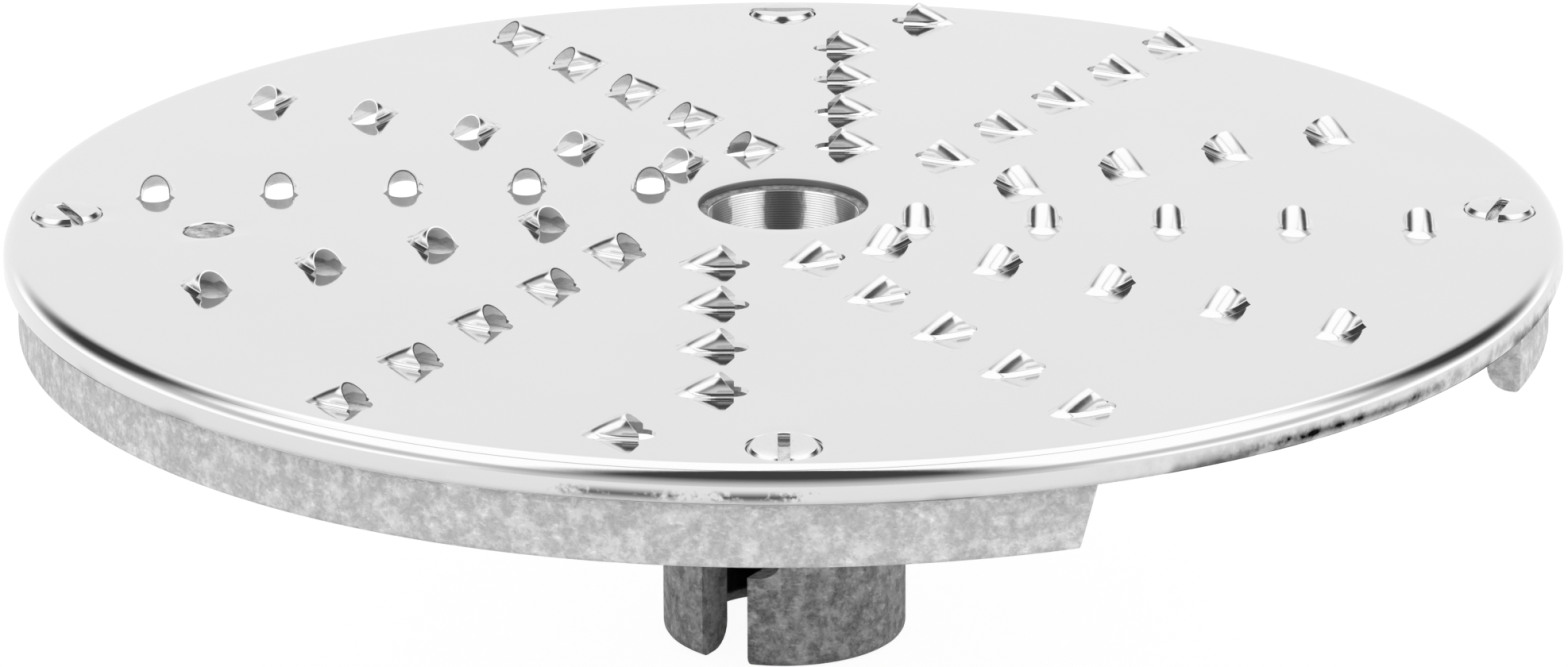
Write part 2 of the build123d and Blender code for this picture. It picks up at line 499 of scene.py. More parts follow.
class Graph:
    """Node tree of a material or a world, built node by node."""

    def __init__(self, tree: bpy.types.NodeTree) -> None:
        """Start an empty tree."""
        self.tree = tree
        tree.nodes.clear()

    def node(
        self,
        kind: str,
        settings: dict[str, object] | None = None,
        inputs: dict[str | int, object] | None = None,
    ) -> bpy.types.Node:
        """Add a node.

        Args:
            kind: Blender's name of the node type.
            settings: Properties of the node, set first.
            inputs: Socket values or links by socket name or number.

        Returns:
            The node.
        """
        node = self.tree.nodes.new(kind)
        for name, setting in (settings or {}).items():
            setattr(node, name, setting)
        for name, given in (inputs or {}).items():
            source = given.socket if isinstance(given, Value) else given
            if isinstance(source, Socket):
                self.tree.links.new(source, node.inputs[name])
            else:
                node.inputs[name].default_value = source
        return node

    def math(self, kind: MathStep, *operands: Value | float) -> Value:
        """Math node on values or numbers."""
        node = self.node("ShaderNodeMath", {"operation": kind.value}, dict(enumerate(operands)))
        return Value(self, node.outputs[0])

    def split(self, vector: Socket) -> tuple[Value, Value, Value]:
        """The X, Y and Z values of a vector."""
        node = self.node("ShaderNodeSeparateXYZ", inputs={0: vector})
        return Value(self, node.outputs[0]), Value(self, node.outputs[1]), Value(self, node.outputs[2])

    def vector(self, x: Value | float, y: Value | float, z: Value | float) -> Socket:
        """Vector from three values."""
        return self.node("ShaderNodeCombineXYZ", inputs={0: x, 1: y, 2: z}).outputs[0]

    def place(self) -> Socket:
        """Object coordinates, in metres."""
        return self.node("ShaderNodeTexCoord").outputs["Object"]

    def noise(self, place: Socket, kind: Speckle) -> Value:
        """Noise of a finish.

        Args:
            place: The coordinates that it follows.
            kind: Its scale and form.

        Returns:
            The noise from 0 to 1, or its span spread over that range.
        """
        inputs = {"Vector": place, "Scale": kind.scale, "Detail": kind.detail, "Roughness": kind.harshness}
        noise = Value(self, self.node("ShaderNodeTexNoise", inputs=inputs).outputs[0])
        return noise.ramp(*kind.span) if kind.span else noise

    def attribute(self, name: str) -> Value:
        """Value of one of the mesh's own attributes."""
        return Value(self, self.node("ShaderNodeAttribute", {"attribute_name": name}).outputs["Fac"])

    def mix(self, share: Value | Socket, first: bpy.types.Node, second: bpy.types.Node) -> bpy.types.Node:
        """Mix Shader node from the first shader at a share of 0 to the second at 1."""
        return self.node("ShaderNodeMixShader", inputs={0: share, 1: first.outputs[0], 2: second.outputs[0]})

    def grey(self, tone: Value) -> Socket:
        """Neutral colour of a tone."""
        return self.node("ShaderNodeCombineColor", inputs={0: tone, 1: tone, 2: tone}).outputs[0]

    def bump(self, height: Value, strength: float, distance: float) -> Socket:
        """Normal that follows a height."""
        inputs = {"Height": height, "Strength": strength, "Distance": distance}
        return self.node("ShaderNodeBump", inputs=inputs).outputs[0]


class Finish:
    """A surface's look as a node material."""

    name: str

    def material(self) -> bpy.types.Material:
        """Make the material.

        Returns:
            The new material, with the Principled shader as its surface.
        """
        made = bpy.data.materials.new(self.name)
        made.use_nodes = True
        graph = Graph(made.node_tree)
        shader = graph.node("ShaderNodeBsdfPrincipled", inputs=self.surface(graph))
        graph.node("ShaderNodeOutputMaterial", inputs={"Surface": shader.outputs[0]})
        return made

    def surface(self, graph: Graph) -> dict[str | int, object]:
        """Inputs of the Principled shader.

        Args:
            graph: The material's nodes.

        Returns:
            Socket values or links by socket name.
        """
        raise NotImplementedError

    def apply(self, item: bpy.types.Object) -> None:
        """Give the material to a piece."""
        item.data.materials.clear()
        item.data.materials.append(self.material())


@dataclass(frozen=True)
class PolishedSteel(Finish):
    """Mirror-polished sheet with softer drawn hoods, faint clouds and handling marks on its flange, and painted dark
    reflections of dents on the flange.
    """

    name: str = "polished_steel"
    tone: float = 0.755
    roughness: float = 0.045
    clouds: Speckle = Speckle(45, 3, tone=0.03)
    grain: Speckle = Speckle(1400, roughness=0.03, height=0.3)
    marks: Speckle = Speckle(75, span=(0.50, 0.66), tone=-0.40, roughness=0.10, height=0.5)
    scuffs: Speckle = Speckle(420, 4, 0.65, (0.36, 0.66), tone=-0.3, roughness=0.12, height=0.4)
    bump_strength: float = 0.05
    bump_depth: float = 0.0001
    rim_height: float = 0.0538
    crown: float = 0.00125
    crown_radius: float = 0.0925
    hood_rise: Point = (0.0002, 0.0006)
    hood_roughness: float = 0.13
    hood_grain: float = 0.1
    inside_painted_tone: float = 0.9
    inside_roughness: float = 0.3
    inside_dullness: float = 0.7
    wall_edge: Point = (0.01035, 0.01055)
    wall_tone: float = -0.5
    wall_roughness: float = 0.35
    flange_edge: Point = (0.0505, 0.0513)
    flange_roughness: float = 0.05
    foot_edge: Point = (0.0497, 0.0507)
    mark_stretch: float = 2.0
    mark_base: float = 0.12
    mark_wear: float = 0.5
    mark_fade: float = 0.4
    scuff_edge: Point = (0.0511, 0.0521)
    wear_start: Point = (18.0, 42.0)
    wear_end: Point = (80.0, 110.0)
    dent_reflections: tuple[tuple[float, float, float], ...] = (
        (-11.0, 5.0, 0.62), (-1.9, 3.6, 0.66), (44.0, 13.0, 0.52), (128.0, 5.0, 0.4), (-118.0, 4.0, 0.4),
    )
    dent_reflection_core: float = 0.3
    dent_reflection_fray: float = 8.0
    dent_reflection_band: tuple[float, float, float] = (0.0500, 0.0509, 0.0005)

    def dent_reflection_darkness(self, turn: Value) -> Value:
        """Painted reflection: the dark that the flange's dents would mirror, painted into the colour.

        Args:
            turn: The angle from the front in degrees, positive to the right.

        Returns:
            The sum over the dents.
        """
        return sum(
            depth * (1 - ((turn - middle) / half).size().ramp(self.dent_reflection_core, 1.0))
            for middle, half, depth in self.dent_reflections
        )

    def surface(self, graph: Graph) -> dict[str | int, object]:
        """Inputs of the Principled shader.

        Args:
            graph: The material's nodes.

        Returns:
            Socket values or links by socket name.
        """
        place = graph.place()
        x, y, z = graph.split(place)
        clouds = graph.noise(place, self.clouds)
        grain = graph.noise(place, self.grain)
        radius = (x * x + y * y).root()
        rise = z - self.rim_height - self.crown * (1 - (radius / self.crown_radius) ** 2)
        hood = rise.ramp(*self.hood_rise)
        wall = 1 - radius.ramp(*self.wall_edge)
        inside = graph.attribute(INSIDE)
        flange = 1 - z.ramp(*self.flange_edge)
        low = 1 - z.ramp(*self.foot_edge)
        turn = x.step(MathStep.ARCTAN2, y * -1) * degrees(1)
        worn = turn.ramp(*self.wear_start) * (1 - turn.ramp(*self.wear_end))
        # Painted reflection: dark patches for the flange's dents, at set angles round the flange.
        dent_reflections = self.dent_reflection_darkness(turn + grain.centred() * self.dent_reflection_fray) * z.band(*self.dent_reflection_band)
        marks = flange * graph.noise(graph.vector(x, y, z * self.mark_stretch), self.marks)
        marks = marks * (self.mark_base + low + worn * self.mark_wear) * (1 - self.mark_fade + worn * self.mark_fade)
        scuffs = (1 - z.ramp(*self.scuff_edge)) * worn * graph.noise(place, self.scuffs)
        tone = self.tone + clouds.centred() * self.clouds.tone + marks * self.marks.tone + scuffs * self.scuffs.tone
        tone = tone - dent_reflections + wall * self.wall_tone
        roughness = self.roughness + hood * (self.hood_roughness + grain.centred() * self.hood_grain)
        roughness = roughness + flange * self.flange_roughness + wall * self.wall_roughness
        roughness = roughness + grain * self.grain.roughness + marks * self.marks.roughness
        roughness = roughness + scuffs * self.scuffs.roughness + inside * self.inside_roughness
        height = grain * self.grain.height + marks * self.marks.height + scuffs * self.scuffs.height
        return {
            # Painted light: the hood insides take a lighter, matt, less metallic copy of the steel.
            "Base Color": graph.grey(tone + inside * (self.inside_painted_tone - tone)),
            "Metallic": 1 - inside * self.inside_dullness,
            "Roughness": roughness,
            "Normal": graph.bump(height, self.bump_strength, self.bump_depth),
        }


@dataclass(frozen=True)
class CastAlloy(Finish):
    """Rough sand-cast alloy, with painted shade on the hub, painted light on the web's top, and a turned bore with
    painted reflection bands and painted shade deep down.
    """

    name: str = "cast_alloy"
    tone: float = 0.61
    tone_limit: float = 0.97
    roughness: float = 0.50
    clouds: Speckle = Speckle(150, 3, 0.55, tone=0.30)
    blotches: Speckle = Speckle(520, 6, 0.68, (0.38, 0.62), tone=0.30, height=0.5)
    grain: Speckle = Speckle(1700, 5, 0.7, tone=0.70, roughness=0.25, height=0.5)
    flakes: Speckle = Speckle(1000, 3, span=(0.57, 0.68), tone=0.22)
    flake_slant: float = 0.6
    flake_stretch: float = 1.8
    shine: float = 0.20
    flake_shine: float = 0.4
    bump_strength: float = 0.55
    bump_depth: float = 0.0004
    mottle_level: float = 0.95
    hub_mottle: float = 2.4
    web_calm: float = 1.3
    peg_mottle: float = 1.5
    hub_shade_tone: float = 0.32
    hub_edge: Point = (0.0155, 0.0195)
    top_edge: Point = (0.0527, 0.0531)
    seat: float = 0.05322
    crown: float = 0.00124
    web_radius: float = 0.0919
    peg_rise: Point = (0.0001, 0.0003)
    peg_shade: float = 0.35
    bore_edge: Point = (0.0092, 0.0094)
    bore_tone: float = 0.38
    bore_roughness: float = 0.28
    bore_shade_span: Point = (0.028, 0.040)
    bore_shade_level: float = 0.05
    waver: Speckle = Speckle(900, 3, height=0.25)
    waver_stretch: float = 0.4
    reflection_bands: int = 6
    reflection_band_tone: float = 0.60
    reflection_band_edge: float = 0.25
    reflection_band_waver: float = 1.6
    ring_pitch: float = 0.00031
    ring_edge: Point = (0.62, 1.0)
    ring_shade: float = 0.6
    ring_height: float = 0.92

    def surface(self, graph: Graph) -> dict[str | int, object]:
        """Inputs of the Principled shader.

        Args:
            graph: The material's nodes.

        Returns:
            Socket values or links by socket name.
        """
        place = graph.place()
        x, y, z = graph.split(place)
        radius = (x * x + y * y).root()
        cast = radius.ramp(*self.bore_edge)
        out = radius.ramp(*self.hub_edge)
        web_top = self.seat + self.crown * (1 - (radius / self.web_radius) ** 2)
        peg = (z - web_top).ramp(*self.peg_rise) * out
        # Painted light: the web's top under the sheet is lifted towards white and made non-metal.
        painted_light_top = z.ramp(*self.top_edge) * out * (1 - peg)
        clouds = graph.noise(place, self.clouds)
        blotches = graph.noise(place, self.blotches)
        grain = graph.noise(place, self.grain)
        slant = z * self.flake_slant
        flakes = graph.noise(graph.vector(x + slant, y + slant, z * self.flake_stretch), self.flakes)
        mottle = clouds.centred() * self.clouds.tone + blotches.centred() * self.blotches.tone
        mottle = mottle + grain.centred() * self.grain.tone + flakes * self.flakes.tone
        mottle = mottle * (self.hub_mottle - out * self.web_calm + peg * self.peg_mottle)
        # Painted shade: the hub under the plate takes a darker tone than the web and skirts.
        cast_tone = (self.hub_shade_tone + out * (self.tone - self.hub_shade_tone)) * (1 - peg * self.peg_shade)
        cast_tone = (cast_tone + painted_light_top * (1 - cast_tone)) * (self.mottle_level + mottle)
        cast_tone = cast_tone.step(MathStep.MINIMUM, self.tone_limit)
        rings = (z / self.ring_pitch).step(MathStep.FRACTION)
        waver = graph.noise(graph.vector(x, y, z * self.waver_stretch), self.waver)
        # Painted reflection: bright bands round the bore stand in for light mirrored by the turned surface.
        reflection_bands = x.step(MathStep.ARCTAN2, y) * self.reflection_bands + waver.centred() * self.reflection_band_waver
        reflection_bands = reflection_bands.step(MathStep.COSINE).ramp(self.reflection_band_edge, -self.reflection_band_edge)
        turned_tone = self.bore_tone + reflection_bands * self.reflection_band_tone
        turned_tone = turned_tone * (1 - rings.ramp(*self.ring_edge) * self.ring_shade)
        # Painted shade: the bore darkens towards its bottom, deep inside the hub.
        turned_tone = turned_tone * (self.bore_shade_level + (1 - self.bore_shade_level) * z.ramp(*self.bore_shade_span))
        roughness = cast * (self.roughness + grain.centred() * self.grain.roughness)
        height = cast * (grain * self.grain.height + blotches * self.blotches.height)
        height = height + (1 - cast) * (waver * self.waver.height - rings * self.ring_height)
        return {
            "Base Color": graph.grey(cast * cast_tone + (1 - cast) * turned_tone),
            "Metallic": cast * (self.shine + flakes * self.flake_shine) * (1 - painted_light_top) + (1 - cast),
            "Roughness": roughness + (1 - cast) * self.bore_roughness,
            "Normal": graph.bump(height, self.bump_strength, self.bump_depth),
        }


@dataclass(frozen=True)
class ScrewSteel(Finish):
    """Satin screw steel with a fine grain and a few nicks."""

    name: str = "screw_steel"
    tone: float = 0.75
    roughness: float = 0.10
    grain: Speckle = Speckle(2200, 3, tone=0.06, roughness=0.08, height=0.5)
    nicks: Speckle = Speckle(800, 3, span=(0.64, 0.74), tone=-0.10, roughness=0.10, height=1.0)
    bump_strength: float = 0.05
    bump_depth: float = 0.0001

    def surface(self, graph: Graph) -> dict[str | int, object]:
        """Inputs of the Principled shader.

        Args:
            graph: The material's nodes.

        Returns:
            Socket values or links by socket name.
        """
        place = graph.place()
        grain = graph.noise(place, self.grain)
        nicks = graph.noise(place, self.nicks)
        height = grain * self.grain.height + nicks * self.nicks.height
        return {
            "Base Color": graph.grey(self.tone + grain.centred() * self.grain.tone + nicks * self.nicks.tone),
            "Metallic": 1.0,
            "Roughness": self.roughness + grain * self.grain.roughness + nicks * self.nicks.roughness,
            "Normal": graph.bump(height, self.bump_strength, self.bump_depth),
        }


@dataclass(frozen=True)
class Tooth:
    """Punched hood like a slanted half pipe, with a raked mouth and a drawn skirt where it leaves the sheet."""

    radius: float = 1.85
    height: float = 2.45
    ridge: tuple[Point, ...] = (
        (-4.9, -0.1), (-4.7, 0.02), (-4.4, 0.2), (-4.1, 0.385), (-3.8, 0.57), (-3.5, 0.75), (-3.1, 0.98),
        (-2.7, 1.2), (-2.2, 1.46), (-1.7, 1.71), (-1.2, 1.94), (-0.8, 2.12), (-0.4, 2.29), (0.0, 2.45),
    )
    crest: tuple[float, ...] = (0.3, 0.8, 1.3, 1.8)
    mouth_rake: float = 1.3
    skirt_height: float = 0.52
    skirt_steps: tuple[Point, ...] = (
        (0.05, 0.42), (0.16, 0.35), (0.38, 0.24), (0.66, 0.12), (0.88, 0.035), (1.0, -0.03),
    )
    skirt_reach: float = 0.6
    skirt_tail: float = 1.25
    spine_start: float = -2.6
    scoop_radius: float = 1.72
    scoop_ridge: tuple[Point, ...] = (
        (-5.2, -0.62), (-4.7, -0.28), (-4.3, 0.0), (-3.9, 0.30), (-3.4, 0.64), (-2.8, 0.97), (-2.2, 1.28), (-1.7, 1.51),
        (-1.2, 1.74), (-0.8, 1.93), (-0.4, 2.11), (0.0, 2.30),
    )
    scoop_flat: float = 0.9
    scoop_turns: tuple[float, ...] = (12, 24, 36, 48, 60, 72, 82, 88)
    hole_front: float = 3.5
    arch_steps: int = 12
    inside_slope: float = -0.1

    def hood(self) -> bpy.types.Object:
        """Model the hood before it is hollowed.

        Returns:
            The closed mesh, with X towards its mouth.
        """
        ridge = [*self.ridge, *((x, self.height) for x in self.crest)]
        rings = [Ring(x, rise - self.radius, self.radius, self.radius) for x, rise in ridge]
        hood = Bench.lofted("hood", rings, self.arch_steps)
        with Bench.editing(hood):
            Bench.trim((0, 0, self.skirt_height), (0, 0, -1), fill=False)
            Bench.select(hood, lambda place: place.z < self.skirt_height + NEAR)
            drop = self.skirt_height - self.skirt_steps[-1][1]
            for (last_out, last_level), (out, level) in pairwise([(0.0, self.skirt_height), *self.skirt_steps]):
                Bench.extrude((0, 0, level - last_level))
                self.spread(hood, out - last_out, (last_level - level) / drop)
            Bench.close_ends()
            Bench.trim((0, 0, self.height), (self.height, 0, self.mouth_rake))
        return hood

    def spread(self, hood: bpy.types.Object, share: float, fall: float) -> None:
        """Move the selected edge outwards from the hood's spine, further at the tail than at the sides.

        Args:
            hood: The hood in edit mode.
            share: Share of the skirt's whole reach to move by at the sides.
            fall: The same at the tail, where the skirt runs out straight.
        """
        bpy.ops.object.mode_set(mode="OBJECT")
        for vertex in hood.data.vertices:
            if vertex.select:
                away = Vector((min(vertex.co.x - self.spine_start, 0), vertex.co.y, 0)).normalized()
                tail = max(-away.x, 0)
                reach = self.skirt_reach + (self.skirt_tail - self.skirt_reach) * tail
                vertex.co += away * reach * (share + (fall - share) * tail)
        bpy.ops.object.mode_set(mode="EDIT")

    def scoop(self) -> bpy.types.Object:
        """Model the cutter for the hollow under the hood and the hole through the sheet.

        Returns:
            The cutter.
        """
        half = self.scoop_radius
        rings = [Ring(x, rise - half, half, half) for x, rise in self.scoop_ridge]
        level = rings[-1].z
        middle = self.hole_front - half
        rings += [Ring(x, level, half, half) for x in (self.scoop_flat, middle)]
        for turn in self.scoop_turns:
            rings.append(Ring(middle + half * sin(radians(turn)), level, half * cos(radians(turn)), half))
        return Bench.lofted("scoop", rings, self.arch_steps)

    def build(self) -> bpy.types.Object:
        """Model the finished tooth.

        Returns:
            The hood, hollowed by its scoop.
        """
        hood = self.hood()
        Bench.combine(hood, self.scoop(), Cut.REMOVE)
        self.mark_inside(hood)
        return hood

    def mark_inside(self, hood: bpy.types.Object) -> None:
        """Mark the hood's inner faces in the mesh's own attribute; the finish keeps them matt and paints them lighter,
        as painted light.
        """
        marks = hood.data.attributes.new(INSIDE, "FLOAT", "FACE")
        marks.data.foreach_set("value", [float(face.normal.z < self.inside_slope) for face in hood.data.polygons])


@dataclass(frozen=True)
class GratingPlate:
    """Crowned sheet with a rolled rim and punched teeth in twelve rows."""

    radius: float = 95.0
    sheet: float = 0.55
    rim_height: float = 53.8
    crown: float = 1.25
    rim_radius: float = 2.5
    flange_foot: float = 49.4
    hole_radius: float = 10.3
    hole_edge_radius: float = 0.25
    hole_wall: float = 0.85
    tooth_pitch: float = 15.2
    rows_per_turn: int = 12
    spiral_starts: int = 6
    first_row_angle: float = 60.0
    first_tooth_reach: float = 87.2
    tooth_offset: float = 7.5
    last_tooth_reach: float = 15.0
    screw_circle: float = 87.5
    screw_hole_radius: float = 4.32
    screw_dodge: float = 10.54
    screw_margin: float = 9.4
    peg_circle: float = 70.1
    peg_angle: float = 186.3
    peg_hole_radius: float = 3.05
    lip_radius: float = 0.35
    crown_rings: tuple[float, ...] = (13, 17, 22, 28, 34, 40, 46, 52, 58, 64, 70, 75, 80, 84, 87, 89.5, 91.3)
    under_rings: tuple[float, ...] = (84, 70, 52, 34, 17)
    hole_land: float = 0.02
    foot_roll: tuple[Point, ...] = ((0.0, 0.9), (0.03, 0.65), (0.1, 0.42), (0.22, 0.2), (0.36, 0.07), (0.5, 0.0))
    foot_chamfer: float = 0.2
    drill_down: float = 3.0
    drill_up: float = 2.0
    drill_segments: int = 64
    segments: int = 288
    sharp_angle: float = 36.0
    tooth: Tooth = Tooth()

    @property
    def flat_radius(self) -> float:
        """Radius at which the crown ends and the rim's bend starts."""
        return self.radius - self.rim_radius

    def top(self, radius: float) -> float:
        """Height of the plate's upper face at a radius."""
        return self.rim_height + self.crown * (1 - (radius / self.flat_radius) ** 2)

    def profile(self) -> list[Point]:
        """Section of the sheet, with the crown, the rolled rim and the flange.

        Returns:
            Points (radius, height), round from the hole's lower edge.
        """
        hole, edge, flat = self.hole_radius, self.hole_edge_radius, self.flat_radius
        hole_top, wall_foot = self.top(hole), self.top(hole) - self.hole_wall
        bend_z = self.rim_height - self.rim_radius
        inside, foot, chamfer = self.radius - self.sheet, self.flange_foot, self.foot_chamfer
        points = [(hole, wall_foot), (hole, hole_top - edge)]
        points += arc((hole + edge, hole_top - edge), edge, (157.5, 135, 112.5))
        points += [(r, self.top(r)) for r in (hole + edge + self.hole_land, *self.crown_rings)]
        points += arc((flat, bend_z), self.rim_radius, range(90, -1, -9))
        points += [(self.radius - in_by, foot + up) for in_by, up in self.foot_roll]
        points += [(inside + chamfer, foot), (inside, foot + chamfer), (inside, bend_z)]
        points += arc((flat, bend_z), self.rim_radius - self.sheet, (30, 60, 90))
        points += [(r, self.top(r) - self.sheet) for r in self.under_rings]
        return points + [(hole + self.hole_wall, wall_foot)]

    def tooth_places(self) -> list[Matrix]:
        """Places of the teeth on the spiral, moved on where a tooth would meet a screw.

        Returns:
            A place for each tooth, square to the crown, with X towards its mouth.
        """
        places = []
        row_turn = 360 / self.rows_per_turn
        for row in range(self.spiral_starts):
            reach = self.first_tooth_reach - row * self.tooth_pitch / self.spiral_starts
            while reach > self.last_tooth_reach:
                radius = hypot(reach, self.tooth_offset)
                angle = self.first_row_angle + row * row_turn - degrees(atan2(self.tooth_offset, reach))
                facing = self.first_row_angle + row * row_turn + 90
                if self.meets_screw(radius, angle):
                    dodge = degrees(self.screw_dodge / radius)
                    angle -= dodge
                    facing -= dodge
                places += [self.on_crown(radius, angle + turn, facing + turn) for turn in HALVES]
                reach -= self.tooth_pitch
        return places

    def meets_screw(self, radius: float, angle: float) -> bool:
        """Whether a tooth at this radius and angle would run into a screw's head."""
        here = polar(radius, angle)
        return any((here - polar(self.screw_circle, turn)).length < self.screw_margin for turn in QUARTERS)

    def on_crown(self, radius: float, angle: float, facing: float) -> Matrix:
        """Place on the plate's upper face, square to it.

        Args:
            radius: Distance from the axis.
            angle: Angle about the axis in degrees.
            facing: Direction of the place's X axis in degrees.

        Returns:
            The place as a matrix.
        """
        slope = 2 * self.crown * radius / self.flat_radius**2
        normal = (polar(slope, angle) + Vector((0, 0, 1))).normalized()
        tilt = Vector((0, 0, 1)).rotation_difference(normal).to_matrix().to_4x4()
        spot = Matrix.Translation(polar(radius, angle, self.top(radius)))
        return spot @ tilt @ Matrix.Rotation(radians(facing), 4, "Z")

    def drill(self, radius: float, circle: float, angle: float) -> bpy.types.Object:
        """Cutter for a round hole through the sheet, with a rounded lip.

        Args:
            radius: The hole's radius.
            circle: Distance of the hole from the axis.
            angle: Angle about the axis in degrees.

        Returns:
            The cutter.
        """
        lip = self.lip_radius
        points = [(radius, -self.drill_down), *arc((radius + lip, -lip), lip, (180, 157.5, 135, 112.5, 95))]
        cutter = Bench.turned("drill", points + [(radius + lip, self.drill_up)], self.drill_segments)
        cutter.matrix_world = self.on_crown(circle, angle, 0)
        return cutter

    def build(self) -> bpy.types.Object:
        """Model the plate.

        Returns:
            The finished plate with its holes and teeth.
        """
        plate = Bench.turned("grating_plate_dressed", self.profile(), self.segments, ring=True)
        places = self.tooth_places()
        cutters = [Bench.copied(self.tooth.scoop(), places)]
        cutters += [self.drill(self.screw_hole_radius, self.screw_circle, turn) for turn in QUARTERS]
        cutters.append(self.drill(self.peg_hole_radius, self.peg_circle, self.peg_angle))
        Bench.combine(plate, Bench.joined(cutters), Cut.REMOVE)
        teeth = Bench.copied(self.tooth.build(), places)
        LOG.info("%d teeth", len(places))
        plate = Bench.joined([plate, teeth])
        Bench.finish(plate, self.sharp_angle)
        return plate

    def dress(self, plate: bpy.types.Object) -> None:
        """Finish the plate and put it in the frame.

        Args:
            plate: The plate.
        """
        PolishedSteel().apply(plate)
        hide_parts("grating_plate")
        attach(plate, "root")


@dataclass(frozen=True)
class Carrier:
    """Casting with the drive hub, two web sectors, two skirts, screw bosses and a locating peg."""

    seat: float = 53.22
    crown: float = 1.24
    hub_top: float = 54.14
    hub_radius: float = 15.0
    hub_edge: float = 1.2
    bore_radius: float = 9.15
    bore_lead: float = 3.0
    bore_chamfer: float = 0.35
    web_foot: float = 46.95
    web_root_foot: float = 39.95
    web_root_radius: float = 20.0
    web_radius: float = 91.9
    web_start_offset: float = 2.0
    web_end_angle: float = 244.0
    web_end_offset: float = 7.0
    skirt_radius: float = 93.4
    skirt_thickness: float = 4.1
    skirt_foot: float = 41.4
    skirt_start: float = 159.5
    skirt_end: float = 293.0
    skirt_end_slope: float = 16.0
    skirt_top_gap: float = 0.1
    skirt_inner_round: float = 2.8
    skirt_inner_steps: int = 6
    skirt_outer_round: float = 0.6
    skirt_outer_steps: int = 3
    skirt_spin_steps: int = 134
    skirt_round: Rounding = Rounding(0.7, 3, 50)
    boss_radius: float = 4.9
    boss_foot: float = 42.0
    boss_chamfer: float = 0.8
    boss_top_gap: float = 0.05
    boss_segments: int = 40
    boss_circle: float = 87.5
    slot_angle: float = 240.0
    slot_width: float = 6.4
    slot_height: float = 18.0
    slot_leg_reach: float = 7.2
    slot_leg_height: float = 6.4
    slot_corner: float = 2.6
    slot_corner_steps: int = 8
    slot_overrun: float = 4.0
    peg_circle: float = 70.1
    peg_angle: float = 186.3
    peg_radius: float = 2.95
    peg_top: float = 54.22
    peg_root: float = 1.0
    peg_edge: tuple[Point, ...] = ((0.0, -0.3), (0.1, -0.1), (0.35, 0.0), (2.55, 0.02))
    peg_segments: int = 32
    hub_segments: int = 128
    hub_round: Rounding = Rounding(0.3, 2, 50)
    bore_rings: tuple[float, ...] = (12, 24, 36)
    web_rings: tuple[float, ...] = (30, 45, 60, 75)
    web_overlap: float = 1.0
    web_segments: int = 180
    web_round: Rounding = Rounding(0.9, 3, 40)
    sharp_angle: float = 32.0

    def hub(self) -> bpy.types.Object:
        """Model the drive hub with a rounded foot, a rounded lead into the bore and two drive slots.

        Returns:
            The hub.
        """
        outer, bore, edge, lead = self.hub_radius, self.bore_radius, self.hub_edge, self.bore_lead
        top = self.hub_top
        points = [(bore, top - self.bore_chamfer), (bore + self.bore_chamfer, top), (outer, top)]
        points += arc((outer - edge, edge), edge, (0, -22.5, -45, -67.5, -90))
        points += arc((bore + lead, lead), lead, range(270, 179, -15))
        points += [(bore, height) for height in self.bore_rings]
        hub = Bench.turned("carrier_dressed", points, self.hub_segments, ring=True)
        for turn in HALVES:
            Bench.combine(hub, Bench.turn(self.slot(), self.slot_angle + turn), Cut.REMOVE)
        Bench.soften(hub, self.hub_round)
        return hub

    def slot(self) -> bpy.types.Object:
        """Model the cutter for a drive slot along X: a straight mouth with a short leg at its top.

        Returns:
            The cutter.
        """
        half, top, over = self.slot_width / 2, self.slot_height, self.slot_overrun
        leg_foot = top - self.slot_leg_height
        slot = Bench.block("slot", (self.bore_radius - over, -half, -over), (self.hub_radius + over, half, top))
        with Bench.editing(slot):
            bpy.ops.mesh.bisect(plane_co=(0, 0, leg_foot), plane_no=(0, 0, 1))
            Bench.select(slot, lambda place: place.y > half - NEAR and place.z > leg_foot - NEAR)
            leg = (0, self.slot_leg_reach - half, 0)
            bpy.ops.mesh.extrude_region_move(TRANSFORM_OT_translate={"value": leg})
            Bench.select(slot, lambda place: place.y > half + NEAR or (place.y < 0 and place.z > top - NEAR))
            self.round_long_edges(slot)
        return slot

    def round_long_edges(self, slot: bpy.types.Object) -> None:
        """Round the edges along X between the selected vertices.

        Args:
            slot: The slot's cutter in edit mode.
        """
        bpy.ops.object.mode_set(mode="OBJECT")
        points = slot.data.vertices
        chosen = []
        for edge in slot.data.edges:
            a, b = (points[index] for index in edge.vertices)
            chosen.append(a.select and b.select and abs(a.co.x - b.co.x) > NEAR)
        for face in slot.data.polygons:
            face.select = False
        for point in points:
            point.select = False
        for edge, wanted in zip(slot.data.edges, chosen):
            edge.select = wanted
        bpy.ops.object.mode_set(mode="EDIT")
        bpy.ops.mesh.select_mode(type="EDGE")
        bpy.ops.mesh.bevel(offset=self.slot_corner, segments=self.slot_corner_steps, affect="EDGES")
        bpy.ops.mesh.select_mode(type="VERT")

    def web(self) -> bpy.types.Object:
        """Model a web sector with a sloped root at the hub.

        Returns:
            The web.
        """
        rim, root = self.web_radius, self.web_root_radius
        inner = self.hub_radius - self.web_overlap
        points = [(r, self.seat + self.crown * (1 - (r / rim) ** 2)) for r in (inner, *self.web_rings, rim)]
        points += [(rim, self.web_foot), (root, self.web_foot)]
        points += [(self.hub_radius, self.web_root_foot), (inner, self.web_root_foot)]
        web = Bench.turned("web", points, self.web_segments, ring=True)
        side = polar(1, self.web_end_angle + 90)
        with Bench.editing(web):
            Bench.trim((0, self.web_start_offset, 0), (0, 1, 0))
            Bench.trim(-self.web_end_offset * side, side)
        Bench.soften(web, self.web_round)
        return web

